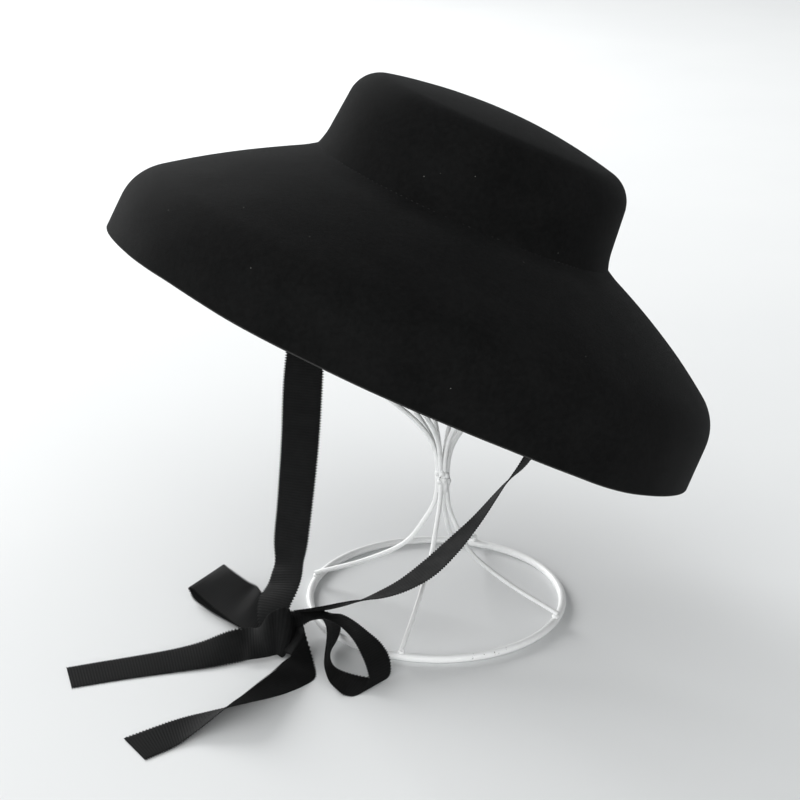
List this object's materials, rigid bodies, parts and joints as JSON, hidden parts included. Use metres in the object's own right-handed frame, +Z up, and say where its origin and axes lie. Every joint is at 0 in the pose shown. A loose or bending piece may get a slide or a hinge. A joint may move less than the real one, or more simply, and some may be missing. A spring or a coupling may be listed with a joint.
{
  "type": "wide brim felt hat on a wire stand",
  "caption": "Black felt hat with a low crown, a wide turned-down brim and ribbon ties in a bow, tilted on a white wire stand.",
  "frame": {"origin": "On the table, under the middle of the whole object's box.", "axes": "+Z is up, -Y is the front that the picture shows and +X is the viewer's right."},
  "size_m": [0.3876, 0.3848, 0.342],
  "materials": {
    "felt": "matte wool felt",
    "ribbon": "ribbed grosgrain ribbon",
    "white_paint": "semi-gloss paint"
  },
  "bodies": {
    "root": {"crown": "felt", "brim": "felt", "tie_left": "ribbon", "tie_right": "ribbon", "bow_knot": "ribbon", "bow_loop_left": "ribbon", "bow_loop_right": "ribbon", "tail_upper": "ribbon", "tail_lower": "ribbon", "base_ring": "white_paint", "leg_1": "white_paint", "leg_2": "white_paint", "leg_3": "white_paint", "leg_4": "white_paint", "waist_weld": "white_paint", "cage_wire_1": "white_paint", "cage_wire_2": "white_paint", "cage_wire_3": "white_paint", "cage_wire_4": "white_paint", "cage_wire_5": "white_paint", "cage_wire_6": "white_paint", "cage_wire_7": "white_paint", "cage_wire_8": "white_paint", "cage_top": "white_paint"}
  },
  "joints": []
}
